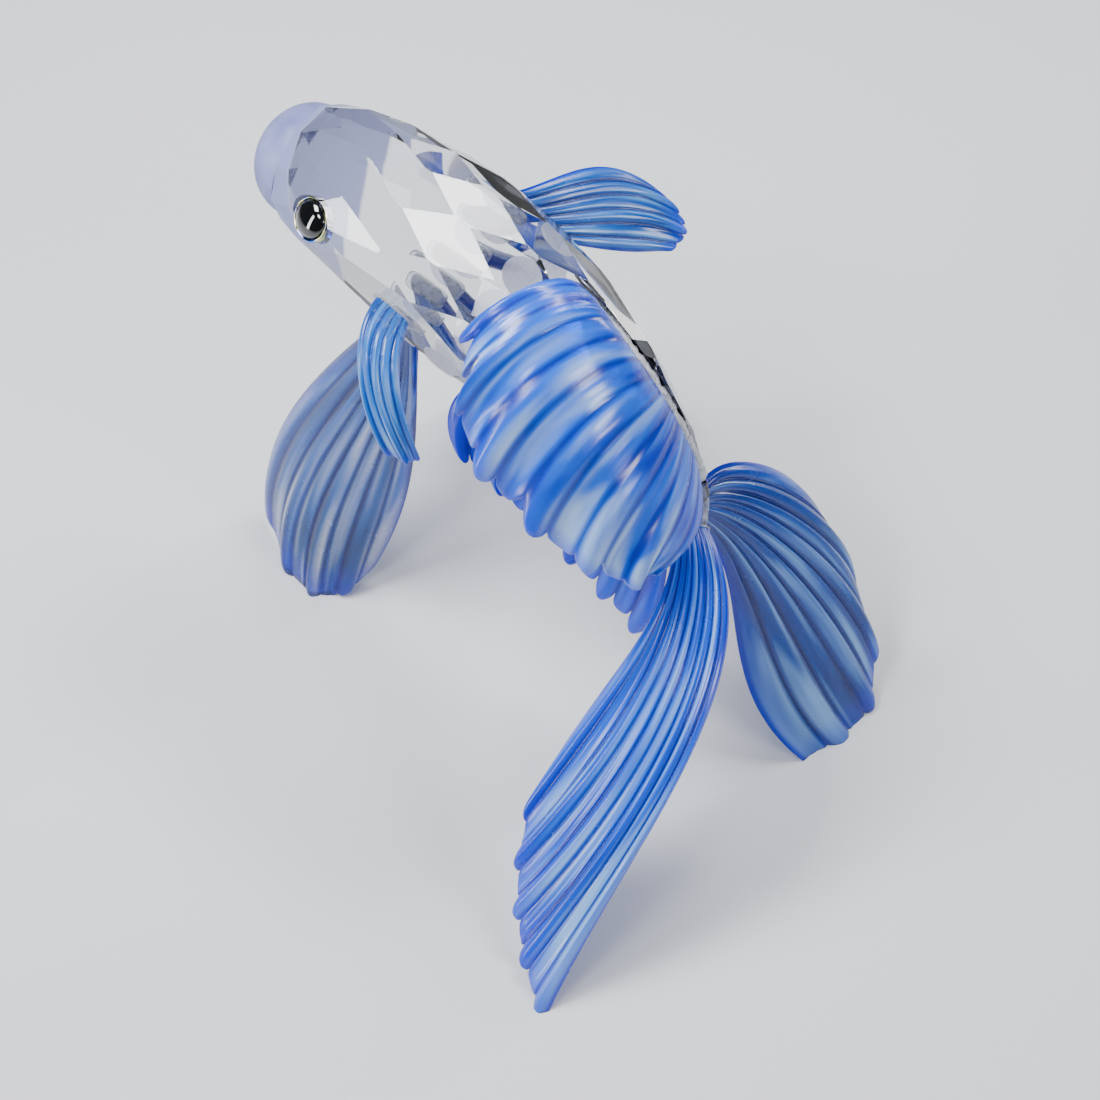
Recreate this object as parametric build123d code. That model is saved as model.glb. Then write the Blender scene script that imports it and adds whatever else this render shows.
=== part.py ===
from build123d import *
import math
import os

# Crystal fighting-fish figurine, millimetres, +Z up, head towards -X, left flank towards -Y.
# The fish stands on the tips of both pelvic fins and both tail lobes, with the origin
# at the middle of the footprint. Every piece is ground, pressed or cast on its own and
# bonded with a clear film, so every piece is written as its own solid.

# ---- where the standing fish sits over the origin ----
SHIFT_X = 8.2
SHIFT_Y = 9.8

# ---- crystal body: an arched axis from nose to tail stem ----
NOSE_X = -54.5
NOSE_Z = 66.5
STEM_X = 13.2
STEM_Z = 38.0
ARCH_RISE = 8.5          # how far the axis bows above the nose-to-stem line

# distance along the axis, half width, rise to the back, drop to the belly
STATIONS = [
    (0.0, 4.6, 4.6, 4.6),
    (4.0, 6.5, 6.7, 6.9),
    (10.0, 8.8, 9.8, 9.7),
    (21.0, 10.5, 12.6, 12.0),
    (31.0, 11.1, 13.6, 13.0),
    (42.0, 10.4, 13.5, 12.7),
    (52.0, 8.6, 12.4, 11.2),
    (60.0, 6.5, 10.5, 9.1),
    (67.0, 4.4, 8.0, 6.6),
    (75.0, 2.1, 4.0, 3.1),
]
BODY_START = 6.6         # ground flat that carries the frosted mouth
BODY_END = 73.4          # ground flat at the end of the tail stem
FACET_ROWS = [8.4, 12.4, 17.2, 23.0, 30.0, 37.5, 45.0, 52.5, 59.5, 66.0, 71.0]
FACETS_MID = 12          # facets round the trunk
FACETS_END = 10          # facets round the head and the tail stem

# ---- bond film and sockets ----
BOND = 0.15              # thickness of the cured adhesive film
SEAT_SINK = 0.6          # how deep a fin seat is ground below the body surface
GROOVE_HALF = 2.2        # half width of the groove along the back
GROOVE_SINK = 0.5        # depth of that groove
OVERRUN = 0.6            # a pressed blade runs past its seat and is ground back

# ---- mouth ----
MOUTH_RADIUS = 7.7
MOUTH_LENGTH = 6.7
LIP_SLIT = 0.5

# ---- eyes ----
EYE_CENTRE = (-40.2, 9.0, 68.9)      # on the surface, mirrored for the left side
EYE_AXIS = (-0.2, 0.8, 0.57)
EYE_RING_RADIUS = 3.1
EYE_HOLE_RADIUS = 2.55
EYE_RING_HEIGHT = 2.0
EYE_POCKET_DEPTH = 1.6
EYE_CLEARANCE = 0.05
CABOCHON_RISE = 1.0

# ---- fins: each ray lists three stations beyond its root, in order across the fin ----
LEFT_TAIL_RAYS = [
    [(16.0, -12.5, 34.0), (14.5, -23.0, 25.0), (12.5, -35.0, 13.0)],
    [(22.5, -15.5, 33.0), (23.5, -31.0, 21.5), (18.0, -46.0, 5.0)],
    [(28.0, -15.5, 31.0), (29.5, -35.0, 17.0), (28.5, -54.5, -1.6)],
]
RIGHT_TAIL_RAYS = [
    [(12.5, 11.5, 37.0), (17.0, 18.5, 29.0), (21.0, 19.0, 20.5)],
    [(19.5, 9.0, 28.0), (28.5, 13.0, 15.0), (36.0, 13.5, 2.0)],
    [(19.5, 0.5, 24.0), (25.0, -2.5, 11.5), (35.5, -1.5, -0.9)],
]
DORSAL_RAYS = [
    [(-7.5, -1.0, 72.0), (-10.0, -6.5, 73.0), (-12.5, -11.0, 68.5)],
    [(0.6, -5.6, 68.6), (-2.7, -14.1, 66.4), (-5.4, -21.4, 57.3)],
    [(10.8, -8.1, 55.7), (10.6, -15.0, 51.8), (10.4, -19.3, 45.9)],
    [(16.5, -4.0, 43.0), (16.0, -8.0, 42.5), (13.5, -10.5, 41.3)],
]
ANAL_RAYS = [
    [(-20.5, -2.5, 44.0), (-22.5, -5.0, 39.5), (-20.0, -7.5, 34.0)],
    [(-5.0, -1.0, 37.5), (-4.5, -4.0, 31.5), (-4.5, -7.0, 25.5)],
    [(10.0, -1.0, 31.5), (11.5, -4.0, 22.5), (9.5, -6.0, 14.0)],
]
LEFT_PELVIC_RAYS = [
    [(-37.5, -7.0, 43.5), (-48.0, -9.0, 23.0), (-51.5, -11.5, 2.0)],
    [(-32.5, -9.5, 36.0), (-38.0, -14.0, 17.0), (-38.5, -19.5, -0.9)],
    [(-26.5, -7.5, 34.0), (-28.5, -8.5, 17.0), (-32.0, -12.5, 2.0)],
]
RIGHT_PELVIC_RAYS = [
    [(-33.0, 12.0, 38.0), (-38.0, 19.0, 18.0), (-38.5, 25.0, 1.0)],
    [(-27.5, 14.5, 37.0), (-28.0, 23.5, 18.0), (-27.0, 30.5, -0.9)],
    [(-21.0, 16.5, 38.0), (-18.5, 27.5, 24.0), (-17.5, 34.5, 12.0)],
]
LEFT_PECTORAL_RAYS = [
    [(-27.5, -16.0, 61.0), (-24.0, -20.5, 56.0), (-20.0, -21.5, 50.0)],
    [(-24.0, -17.5, 61.0), (-20.5, -20.5, 55.5), (-17.0, -21.0, 49.0)],
    [(-21.5, -16.0, 59.5), (-19.0, -18.5, 55.0), (-16.5, -19.5, 48.5)],
]
RIGHT_PECTORAL_RAYS = [
    [(-23.0, 16.5, 64.0), (-19.5, 23.5, 63.0), (-13.0, 28.0, 59.0)],
    [(-19.5, 15.5, 61.0), (-14.5, 22.5, 59.0), (-7.5, 27.5, 55.5)],
    [(-16.5, 14.5, 58.0), (-12.0, 19.5, 55.0), (-8.5, 24.5, 53.0)],
]

# name: rays, ribs, half thickness at root and tip, ripple at the tip, scallop depth
FINS = {
    "left_tail_lobe": (LEFT_TAIL_RAYS, 9, 1.1, 0.8, 0.55, 0.03),
    "right_tail_lobe": (RIGHT_TAIL_RAYS, 9, 1.1, 0.7, 0.5, 0.045),
    "dorsal_fin": (DORSAL_RAYS, 13, 0.8, 0.7, 0.55, 0.07),
    "anal_fin": (ANAL_RAYS, 11, 0.8, 0.65, 0.6, 0.10),
    "left_pelvic_fin": (LEFT_PELVIC_RAYS, 8, 1.0, 0.7, 0.45, 0.04),
    "right_pelvic_fin": (RIGHT_PELVIC_RAYS, 8, 1.0, 0.7, 0.45, 0.04),
    "left_pectoral_fin": (LEFT_PECTORAL_RAYS, 5, 0.9, 0.6, 0.25, 0.05),
    "right_pectoral_fin": (RIGHT_PECTORAL_RAYS, 6, 0.9, 0.6, 0.3, 0.05),
}
STANDING = ["left_tail_lobe", "right_tail_lobe", "left_pelvic_fin", "right_pelvic_fin"]
RIB_DEPTH = 0.35         # share of the thickness lost in the valleys between ribs
EDGE_THIN = 0.55         # share of the thickness left at the two long edges

# flat seats: place along the axis, angle down from the back (left is positive), root length,
# long direction of the root; the tail seats are ground across the end of the stem instead
SKIN_SEATS = {
    "anal_fin": (57.5, 180.0, 25.0, (1.0, 0.0, -0.4)),
    "left_pelvic_fin": (29.0, 142.0, 5.0, (1.0, 0.0, -0.2)),
    "right_pelvic_fin": (29.0, -142.0, 5.0, (1.0, 0.0, -0.2)),
    "left_pectoral_fin": (28.5, 97.0, 5.4, (1.0, 0.0, -0.25)),
    "right_pectoral_fin": (29.5, -97.0, 6.4, (1.0, 0.0, -0.7)),
}
STEM_SEATS = {
    "left_tail_lobe": ((13.6, -1.6, 38.2), (0.45, -0.85, -0.28), 4.6, (1.0, 0.3, -0.1)),
    "right_tail_lobe": ((13.0, 1.6, 38.0), (0.4, 0.72, -0.57), 5.0, (0.6, -0.1, -0.75)),
}
DORSAL_START = 42.5      # dorsal root, measured along the axis
DORSAL_END = 71.5


def weights(stations, value):
    """Blend weights of evenly spaced stations at a place between 0 and 1."""
    places = [i / (stations - 1) for i in range(stations)]
    result = []
    for i, here in enumerate(places):
        weight = 1.0
        for j, other in enumerate(places):
            if i != j:
                weight *= (value - other) / (here - other)
        result.append(weight)
    return result


# ---- axis of the body ----
SPAN = math.hypot(STEM_X - NOSE_X, STEM_Z - NOSE_Z)
ARCH_RADIUS = (SPAN * SPAN / 4 + ARCH_RISE * ARCH_RISE) / (2 * ARCH_RISE)
HALF_ARC = math.asin(SPAN / 2 / ARCH_RADIUS)
ALONG = Vector((STEM_X - NOSE_X) / SPAN, 0, (STEM_Z - NOSE_Z) / SPAN)
RISE = Vector(-ALONG.Z, 0, ALONG.X)
MIDDLE = Vector((NOSE_X + STEM_X) / 2, 0, (NOSE_Z + STEM_Z) / 2)
ARCH_CENTRE = MIDDLE - RISE * (ARCH_RADIUS - ARCH_RISE)


def axis_frame(s):
    """Point, heading and up direction of the body axis at a distance from the nose."""
    turn = s / ARCH_RADIUS - HALF_ARC
    up = ALONG * math.sin(turn) + RISE * math.cos(turn)
    heading = ALONG * math.cos(turn) - RISE * math.sin(turn)
    return ARCH_CENTRE + up * ARCH_RADIUS, heading, up


def station(s, column):
    """Smooth reading of one column of the body stations."""
    rows = STATIONS
    if s <= rows[0][0]:
        return rows[0][column]
    if s >= rows[-1][0]:
        return rows[-1][column]
    k = 0
    while rows[k + 1][0] < s:
        k += 1
    before = rows[max(k - 1, 0)]
    low = rows[k]
    high = rows[k + 1]
    after = rows[min(k + 2, len(rows) - 1)]
    gap = high[0] - low[0]
    t = (s - low[0]) / gap
    slope_low = (high[column] - before[column]) / (high[0] - before[0])
    slope_high = (after[column] - low[column]) / (after[0] - low[0])
    value = (2 * t**3 - 3 * t * t + 1) * low[column]
    value += (t**3 - 2 * t * t + t) * gap * slope_low
    value += (3 * t * t - 2 * t**3) * high[column]
    value += (t**3 - t * t) * gap * slope_high
    return value


def skin(s, angle):
    """Point on the smooth body, angle in degrees from the back towards the left flank."""
    point, heading, up = axis_frame(s)
    turn = math.radians(angle)
    height = station(s, 2) if math.cos(turn) >= 0 else station(s, 3)
    return point + up * (height * math.cos(turn)) + Vector(0, -station(s, 1) * math.sin(turn), 0)


def skin_normal(s, angle):
    """Outward normal of the smooth body."""
    along = skin(s + 0.01, angle) - skin(s - 0.01, angle)
    around = skin(s, angle + 0.1) - skin(s, angle - 0.1)
    normal = along.cross(around).normalized()
    outward = skin(s, angle) - axis_frame(s)[0]
    return normal if normal.dot(outward) > 0 else normal * -1


def flat_plane(centre, normal, long_direction):
    """Seat plane with its x direction laid along the fin root."""
    normal = Vector(normal).normalized()
    long_direction = Vector(long_direction)
    x_dir = (long_direction - normal * long_direction.dot(normal)).normalized()
    return Plane(origin=centre, x_dir=x_dir, z_dir=normal)


# ---- seat planes ----
seats = {}
root_length = {}
for name, (s, angle, length, long_direction) in SKIN_SEATS.items():
    normal = skin_normal(s, angle)
    centre = skin(s, angle) - normal * SEAT_SINK
    seats[name] = flat_plane(centre, normal, long_direction)
    root_length[name] = length
for name, (centre, normal, length, long_direction) in STEM_SEATS.items():
    seats[name] = flat_plane(Vector(centre), normal, long_direction)
    root_length[name] = length


# ---- crystal body: ground flat by flat from a block ----
def ground(solid, point, normal):
    """Grind one flat: keep what lies behind the plane."""
    return solid.split(Plane(origin=point, z_dir=normal), keep=Keep.BOTTOM)


block = Pos(-20, 0, 58) * Box(90, 40, 70)
body = block.solid()
for row, s in enumerate(FACET_ROWS):
    count = FACETS_MID if 1 < row < 8 else FACETS_END
    for k in range(count):
        angle = 360.0 * (k + 0.5 * (row % 2)) / count
        body = ground(body, skin(s, angle), skin_normal(s, angle))
nose_point, nose_heading, nose_up = axis_frame(BODY_START)
end_point, end_heading, end_up = axis_frame(BODY_END)
body = ground(body, nose_point, nose_heading * -1)
body = ground(body, end_point, end_heading)
for name in seats:
    body = ground(body, seats[name].origin, seats[name].z_dir)

# ---- groove along the back: its floor is a cylinder through three points of the back ----
back_a = skin(DORSAL_START, 0) - axis_frame(DORSAL_START)[2] * GROOVE_SINK
back_b = skin((DORSAL_START + DORSAL_END) / 2, 0)
back_b = back_b - axis_frame((DORSAL_START + DORSAL_END) / 2)[2] * GROOVE_SINK
back_c = skin(DORSAL_END, 0) - axis_frame(DORSAL_END)[2] * GROOVE_SINK


def circle_through(a, b, c):
    """Centre and radius of the circle through three points of the middle plane."""
    d = 2 * (a.X * (b.Z - c.Z) + b.X * (c.Z - a.Z) + c.X * (a.Z - b.Z))
    aa = a.X**2 + a.Z**2
    bb = b.X**2 + b.Z**2
    cc = c.X**2 + c.Z**2
    x = (aa * (b.Z - c.Z) + bb * (c.Z - a.Z) + cc * (a.Z - b.Z)) / d
    z = (aa * (c.X - b.X) + bb * (a.X - c.X) + cc * (b.X - a.X)) / d
    centre = Vector(x, 0, z)
    return centre, (a - centre).length


GROOVE_CENTRE, GROOVE_RADIUS = circle_through(back_a, back_b, back_c)


def lying_cylinder(radius, width):
    """Cylinder across the fish, round the centre of the groove floor."""
    at_centre = Pos(GROOVE_CENTRE.X, 0, GROOVE_CENTRE.Z)
    return at_centre * Rot(90, 0, 0) * Cylinder(radius, width)


def back_sector(first, last, width):
    """Block over the back between two places on the groove floor."""
    angle_first = math.atan2(first.Z - GROOVE_CENTRE.Z, first.X - GROOVE_CENTRE.X)
    angle_last = math.atan2(last.Z - GROOVE_CENTRE.Z, last.X - GROOVE_CENTRE.X)
    reach = GROOVE_RADIUS * 1.6
    corners = [(GROOVE_CENTRE.X, GROOVE_CENTRE.Z)]
    for angle in (angle_first, (angle_first + angle_last) / 2, angle_last):
        x = GROOVE_CENTRE.X + reach * math.cos(angle)
        z = GROOVE_CENTRE.Z + reach * math.sin(angle)
        corners.append((x, z))
    outline = Plane.XZ * make_face(Polyline(*corners, close=True))
    return extrude(outline, amount=width / 2, both=True)


groove = back_sector(back_a, back_c, 2 * GROOVE_HALF)
groove = groove - lying_cylinder(GROOVE_RADIUS, 4 * GROOVE_HALF)
body = body - groove

# ---- eyes: a pocket in the body, a foil ring and a domed black stone on each side ----
pieces = {}
for side, name in ((-1, "left"), (1, "right")):
    centre = Vector(EYE_CENTRE[0], EYE_CENTRE[1] * side, EYE_CENTRE[2])
    axis = Vector(EYE_AXIS[0], EYE_AXIS[1] * side, EYE_AXIS[2]).normalized()
    pocket_floor = Plane(origin=centre - axis * EYE_POCKET_DEPTH, z_dir=axis)
    bottom = (Align.CENTER, Align.CENTER, Align.MIN)
    body = body - pocket_floor * Cylinder(EYE_RING_RADIUS, 12, align=bottom)
    ring = Cylinder(EYE_RING_RADIUS - EYE_CLEARANCE, EYE_RING_HEIGHT, align=bottom)
    ring = ring - Cylinder(EYE_HOLE_RADIUS, EYE_RING_HEIGHT, align=bottom)
    ring = chamfer(ring.edges().group_by(Axis.Z)[-1].sort_by(SortBy.LENGTH)[-1], 0.3)
    pieces[name + "_eye_ring"] = pocket_floor * ring
    stone_radius = EYE_HOLE_RADIUS - EYE_CLEARANCE
    dome_radius = (stone_radius**2 + CABOCHON_RISE**2) / (2 * CABOCHON_RISE)
    stone = Cylinder(stone_radius, EYE_RING_HEIGHT + CABOCHON_RISE, align=bottom)
    dome_centre = EYE_RING_HEIGHT + CABOCHON_RISE - dome_radius
    stone = stone & (Pos(0, 0, dome_centre) * Sphere(dome_radius))
    pieces[name + "_eye_cabochon"] = pocket_floor * stone

# ---- frosted mouth: a satin dome with a lip slit, bonded to the front flat ----
mouth_plane = Plane(origin=nose_point - nose_heading * BOND, z_dir=nose_heading * -1)
quarter = EllipticalCenterArc((0, 0), MOUTH_RADIUS, MOUTH_LENGTH, 0, arc_size=90)
profile = Curve() + quarter
profile = profile + Line((0, MOUTH_LENGTH), (0, 0)) + Line((0, 0), (MOUTH_RADIUS, 0))
dome = revolve(Plane.XZ * make_face(profile), Axis.Z)
slit = Pos(0, 0, MOUTH_LENGTH) * Box(3 * MOUTH_RADIUS, LIP_SLIT, 2.4)
mouth_frame = Plane(mouth_plane.origin, x_dir=(0, 1, 0), z_dir=mouth_plane.z_dir)
pieces["frosted_mouth"] = mouth_frame * (dome - slit)
film = Cylinder(MOUTH_RADIUS - 0.6, BOND, align=(Align.CENTER, Align.CENTER, Align.MIN))
pieces["mouth_bond"] = Plane(nose_point, z_dir=nose_heading * -1) * film


# ---- fins ----
def root_point(name, v):
    """Where a ray leaves its seat; v runs from 0 to 1 across the fin."""
    if name == "dorsal_fin":
        angle_a = math.atan2(back_a.Z - GROOVE_CENTRE.Z, back_a.X - GROOVE_CENTRE.X)
        angle_c = math.atan2(back_c.Z - GROOVE_CENTRE.Z, back_c.X - GROOVE_CENTRE.X)
        inset = 0.05
        angle = angle_a + (angle_c - angle_a) * (inset + (1 - 2 * inset) * v)
        offset = Vector(math.cos(angle), 0, math.sin(angle)) * GROOVE_RADIUS
        return GROOVE_CENTRE + offset
    seat = seats[name]
    return seat.origin + seat.x_dir * ((v - 0.5) * root_length[name])


def blade_point(name, u, v):
    """Middle surface of a fin; u runs from the root to the tip."""
    rays = FINS[name][0]
    across = weights(len(rays), v)
    along = weights(4, u)
    point = root_point(name, v) * along[0]
    for i, ray in enumerate(rays):
        for j, stop in enumerate(ray):
            point += Vector(stop) * (across[i] * along[j + 1])
    return point


def blade_normal(name, u, v):
    """Normal of the middle surface."""
    du = blade_point(name, u + 0.01, v) - blade_point(name, u - 0.01, v)
    dv = blade_point(name, u, v + 0.01) - blade_point(name, u, v - 0.01)
    return du.cross(dv).normalized()


def blade_section(name, u, v):
    """Ripple of the blade and its half thickness at a place."""
    rays, ribs, root_half, tip_half, ripple, scallop = FINS[name]
    grow = min(max(u, 0.0), 1.0)
    beat = math.cos(2 * math.pi * ribs * v)
    half = root_half + (tip_half - root_half) * grow
    half *= 1 - RIB_DEPTH * min(1.0, 4 * grow) * (0.5 + 0.5 * beat)
    edge = min(1.0, 8 * min(v, 1 - v))
    half *= EDGE_THIN + (1 - EDGE_THIN) * edge
    wave = ripple * grow * grow * math.sin(math.pi * ribs * v)
    return wave, half


def blade(name):
    """One pressed fin as a closed solid, lofted through outlines from root to tip."""
    rays, ribs, root_half, tip_half, ripple, scallop = FINS[name]
    rows = 10
    columns = 4 * ribs + 1
    length = (blade_point(name, 1, 0.5) - blade_point(name, 0, 0.5)).length
    front = []
    back = []
    for i in range(rows):
        front_row = []
        back_row = []
        for j in range(columns):
            v = j / (columns - 1)
            beat = math.cos(2 * math.pi * ribs * v)
            tip = 1 - scallop * (0.5 + 0.5 * beat)
            start = -OVERRUN / length
            u = start + (tip - start) * i / (rows - 1)
            wave, half = blade_section(name, u, v)
            middle = blade_point(name, u, v)
            normal = blade_normal(name, u, v)
            front_row.append(middle + normal * (wave + half))
            back_row.append(middle + normal * (wave - half))
        front.append(front_row)
        back.append(back_row)
    places = [j / (columns - 1) for j in range(columns)]
    outlines = []
    for front_row, back_row in zip(front, back):
        upper = Edge.make_spline(front_row, parameters=places)
        lower = Edge.make_spline(back_row, parameters=places)
        right = Edge.make_line(upper.position_at(1), lower.position_at(1))
        left = Edge.make_line(lower.position_at(0), upper.position_at(0))
        outlines.append((upper, right, lower, left))
    sides = Shell.make_loft([Wire(list(outline)) for outline in outlines])
    root_end = Face.make_surface_from_curves(outlines[0][0], outlines[0][2])
    tip_end = Face.make_surface_from_curves(outlines[-1][0], outlines[-1][2])
    return Solid(Shell(list(sides.faces()) + [root_end, tip_end]))


def largest(cut):
    """The main lump of a trimmed blade."""
    lumps = cut if isinstance(cut, list) else cut.solids()
    return sorted(lumps, key=lambda lump: lump.volume)[-1]


for name in FINS:
    fin = blade(name)
    if name == "dorsal_fin":
        film_top = lying_cylinder(GROOVE_RADIUS + BOND, 4 * GROOVE_HALF)
        fin = fin - film_top
        strip = back_sector(back_a, back_c, 2 * GROOVE_HALF - 0.4) & film_top
        pieces[name + "_bond"] = strip - lying_cylinder(GROOVE_RADIUS, 4 * GROOVE_HALF)
    else:
        seat = seats[name]
        film_top = Plane(origin=seat.origin + seat.z_dir * BOND, z_dir=seat.z_dir)
        fin = fin.split(film_top, keep=Keep.TOP)
        long = root_length[name] + 0.6
        wide = 2 * FINS[name][2] + 0.8
        slab = Box(long, wide, BOND, align=(Align.CENTER, Align.CENTER, Align.MIN))
        pieces[name + "_bond"] = seat * slab
    pieces[name] = largest(fin)
    if name in STANDING:
        pieces[name] = largest(pieces[name].split(Plane.XY, keep=Keep.TOP))

pieces["crystal_body"] = body

# ---- write every piece ----
os.makedirs("parts", exist_ok=True)
for name in sorted(pieces):
    solid = pieces[name].solids().sort_by(SortBy.VOLUME)[-1]
    placed = Pos(SHIFT_X, SHIFT_Y, 0) * solid
    export_step(placed, "parts/" + name + ".step")
    print(name, placed.is_valid, round(placed.volume, 2))
everything = Compound([Pos(SHIFT_X, SHIFT_Y, 0) * pieces[name] for name in pieces])
box = everything.bounding_box()
print("box", box.min, box.max)
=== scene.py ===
import math
import bpy
import bmesh
import numpy as np
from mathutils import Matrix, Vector


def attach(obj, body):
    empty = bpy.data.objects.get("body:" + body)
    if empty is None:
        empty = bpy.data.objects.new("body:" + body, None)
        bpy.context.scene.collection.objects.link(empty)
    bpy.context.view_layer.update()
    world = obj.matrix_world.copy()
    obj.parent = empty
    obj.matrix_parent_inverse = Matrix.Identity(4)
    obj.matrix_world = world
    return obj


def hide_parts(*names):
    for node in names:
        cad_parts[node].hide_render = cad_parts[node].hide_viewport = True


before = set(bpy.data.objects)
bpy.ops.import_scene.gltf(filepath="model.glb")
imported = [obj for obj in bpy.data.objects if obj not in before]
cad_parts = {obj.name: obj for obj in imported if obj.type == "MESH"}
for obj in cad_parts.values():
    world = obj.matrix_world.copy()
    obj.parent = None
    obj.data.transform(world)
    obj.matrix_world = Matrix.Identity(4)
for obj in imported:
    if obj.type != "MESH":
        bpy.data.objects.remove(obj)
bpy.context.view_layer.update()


def linear(code):
    """Scene-linear colour of an sRGB hex code."""
    channels = [int(code[i:i + 2], 16) / 255 for i in (1, 3, 5)]
    curve = [c / 12.92 if c <= 0.04045 else ((c + 0.055) / 1.055) ** 2.4 for c in channels]
    return (*curve, 1.0)


def add(tree, kind, settings=None, links=None):
    """One node with its settings, its input values and its links."""
    node = tree.nodes.new(kind)
    for key, value in (settings or {}).items():
        setattr(node, key, value)
    for key, value in (links or {}).items():
        if isinstance(value, bpy.types.NodeSocket):
            tree.links.new(value, node.inputs[key])
        else:
            node.inputs[key].default_value = value
    return node


def blank_material(name):
    """A material with only its output node."""
    material = bpy.data.materials.new(name)
    material.use_nodes = True
    material.node_tree.nodes.clear()
    return material, material.node_tree


def mesh_object(name, vertices, faces, smooth=True):
    """A mesh object at the origin, its place in its vertices."""
    mesh = bpy.data.meshes.new(name)
    mesh.from_pydata([tuple(v) for v in vertices], [], faces)
    mesh.validate()
    mesh.polygons.foreach_set("use_smooth", [smooth] * len(mesh.polygons))
    thing = bpy.data.objects.new(name, mesh)
    bpy.context.scene.collection.objects.link(thing)
    return thing


ELEVATION = math.radians(55)
AZIMUTH = math.radians(35.93)
AIM = Vector((0.0082, -0.0037, 0.0351))
DISTANCE = 0.397
back = Vector((math.sin(AZIMUTH) * math.cos(ELEVATION),
               -math.cos(AZIMUTH) * math.cos(ELEVATION),
               math.sin(ELEVATION)))
lens = bpy.data.cameras.new("camera")
lens.lens = 100
lens.sensor_width = 36
lens.clip_start = 0.01
camera = bpy.data.objects.new("camera", lens)
camera.location = AIM + back * DISTANCE
camera.rotation_euler = (-back).to_track_quat("-Z", "Y").to_euler()
bpy.context.scene.collection.objects.link(camera)
bpy.context.scene.camera = camera

# Matt paper: even and pale, with no highlight of its own.
floor_material, tree = blank_material("matt_paper_floor")
paper = add(tree, "ShaderNodeBsdfPrincipled", None,
            {"Base Color": linear("#CBCDD1"), "Roughness": 0.85})
add(tree, "ShaderNodeOutputMaterial", None, {"Surface": paper.outputs[0]})
half = 0.9
floor = mesh_object("floor", [(-half, -half, 0), (half, -half, 0), (half, half, 0), (-half, half, 0)],
                    [(0, 1, 2, 3)], smooth=False)
floor.data.materials.append(floor_material)


def soft_light(name, place, target, width, height, power, tint="#FFFFFF"):
    """A rectangular softbox aimed at a point."""
    light = bpy.data.lights.new(name, "AREA")
    light.shape = "RECTANGLE"
    light.size = width
    light.size_y = height
    light.energy = power
    light.color = linear(tint)[:3]
    holder = bpy.data.objects.new(name, light)
    holder.location = place
    holder.rotation_euler = (Vector(target) - Vector(place)).to_track_quat("-Z", "Y").to_euler()
    bpy.context.scene.collection.objects.link(holder)


centre = (-0.01, 0, 0.05)
soft_light("key", (-0.15, -0.06, 0.33), centre, 0.16, 0.12, 1.8)
soft_light("strip_top", (-0.01, 0.17, 0.33), centre, 0.22, 0.05, 0.9)
soft_light("strip_front", (-0.02, -0.20, 0.33), centre, 0.10, 0.05, 0.5)
soft_light("strip_right", (0.14, 0.42, 0.22), centre, 0.06, 0.34, 1.0)
soft_light("strip_left", (-0.26, -0.38, 0.17), centre, 0.06, 0.34, 1.3)
soft_light("rim", (0.42, -0.02, 0.24), centre, 0.16, 0.07, 1.0)

world = bpy.data.worlds.new("dim_room")
bpy.context.scene.world = world
world.use_nodes = True
world.node_tree.nodes.clear()
tree = world.node_tree
room = add(tree, "ShaderNodeBackground", None, {"Color": linear("#9A9EA6"), "Strength": 0.14})
add(tree, "ShaderNodeOutputWorld", None, {"Surface": room.outputs[0]})

# ---------------------------------------------------------------------------
# Body: one solid piece of clear lead crystal, ground flat by flat on a wheel
# and polished. Its axis is bowed, and each flat is a plane that touches the
# bowed form, so the facets stagger from row to row. Lengths are millimetres.
# ---------------------------------------------------------------------------
MM = 0.001
SHIFT = Vector((8.2, 9.8, 0.0))
NOSE = Vector((-54.5, 0, 66.5))
STEM = Vector((13.2, 0, 38.0))
ARCH_RISE = 8.5
STATIONS = [
    (0.0, 4.6, 4.6, 4.6),
    (4.0, 6.5, 6.7, 6.9),
    (10.0, 8.8, 9.8, 9.7),
    (21.0, 10.5, 12.6, 12.0),
    (31.0, 11.1, 13.6, 13.0),
    (42.0, 10.4, 13.5, 12.7),
    (52.0, 8.6, 12.4, 11.2),
    (60.0, 6.5, 10.5, 9.1),
    (67.0, 4.4, 8.0, 6.6),
    (75.0, 2.1, 4.0, 3.1),
]
FACET_ROWS = [8.4, 12.4, 17.2, 23.0, 30.0, 37.5, 45.0, 52.5, 59.5, 66.0, 71.0]
SEAT_SINK = 0.6

SPAN = (STEM - NOSE).length
ARCH_RADIUS = (SPAN * SPAN / 4 + ARCH_RISE * ARCH_RISE) / (2 * ARCH_RISE)
HALF_ARC = math.asin(SPAN / 2 / ARCH_RADIUS)
ALONG = (STEM - NOSE) / SPAN
RISE = Vector((-ALONG.z, 0, ALONG.x))
ARCH_CENTRE = (NOSE + STEM) / 2 - RISE * (ARCH_RADIUS - ARCH_RISE)


def axis_frame(s):
    """Point, heading and up direction of the body axis at a distance from the nose."""
    turn = s / ARCH_RADIUS - HALF_ARC
    up = ALONG * math.sin(turn) + RISE * math.cos(turn)
    heading = ALONG * math.cos(turn) - RISE * math.sin(turn)
    return ARCH_CENTRE + up * ARCH_RADIUS, heading, up


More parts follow.
